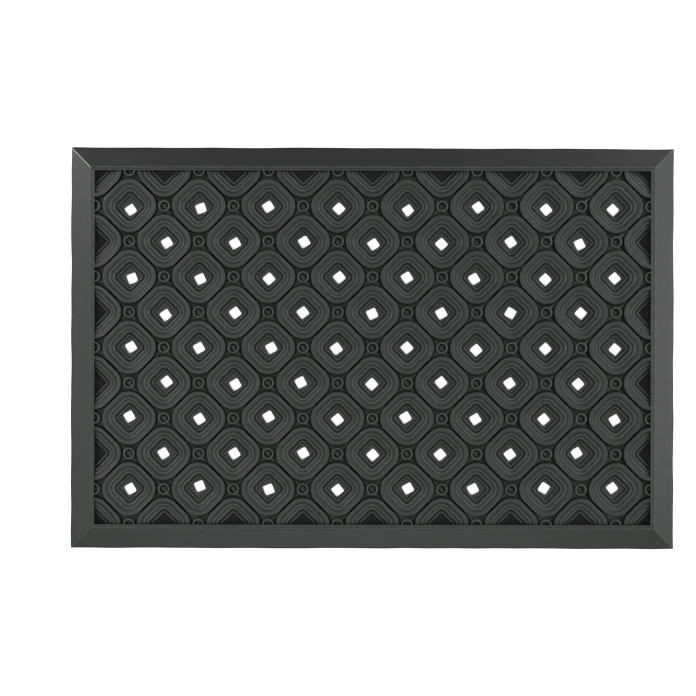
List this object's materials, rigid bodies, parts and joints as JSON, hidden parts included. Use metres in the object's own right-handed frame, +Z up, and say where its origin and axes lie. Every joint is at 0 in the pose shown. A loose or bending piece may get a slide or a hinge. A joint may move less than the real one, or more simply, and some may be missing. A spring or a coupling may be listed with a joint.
{
  "type": "door mat",
  "caption": "Rectangular rubber scraper mat: bevelled, mitred edging round a field of terraced rounded-square cells with punched drain holes and small rings between them.",
  "frame": {"origin": "middle of the underside, on the floor", "axes": "+X along the 600 mm length, +Y to the back edge, +Z up out of the patterned face"},
  "size_m": [0.6, 0.4, 0.009],
  "materials": {
    "sheet": "moulded, matte",
    "cells": "moulded, low sheen",
    "rings": "moulded, low sheen",
    "edging": "moulded, satin, finely streaked"
  },
  "bodies": {
    "root": {"base_sheet": "sheet", "cell_row_1": "cells", "cell_row_2": "cells", "cell_row_3": "cells", "cell_row_4": "cells", "cell_row_5": "cells", "cell_row_6": "cells", "cell_row_7": "cells", "cell_row_8": "cells", "cell_row_9": "cells", "corner_cell_back_left": "cells", "corner_cell_back_right": "cells", "corner_cell_front_left": "cells", "corner_cell_front_right": "cells", "edge_back": "edging", "edge_front": "edging", "edge_left": "edging", "edge_right": "edging", "half_cells_back": "cells", "half_cells_front": "cells", "half_cells_left": "cells", "half_cells_right": "cells", "half_rings_back": "rings", "half_rings_front": "rings", "half_rings_left": "rings", "half_rings_right": "rings", "ring_row_1": "rings", "ring_row_2": "rings", "ring_row_3": "rings", "ring_row_4": "rings", "ring_row_5": "rings", "ring_row_6": "rings", "ring_row_7": "rings", "ring_row_8": "rings", "ring_row_9": "rings"}
  },
  "joints": []
}
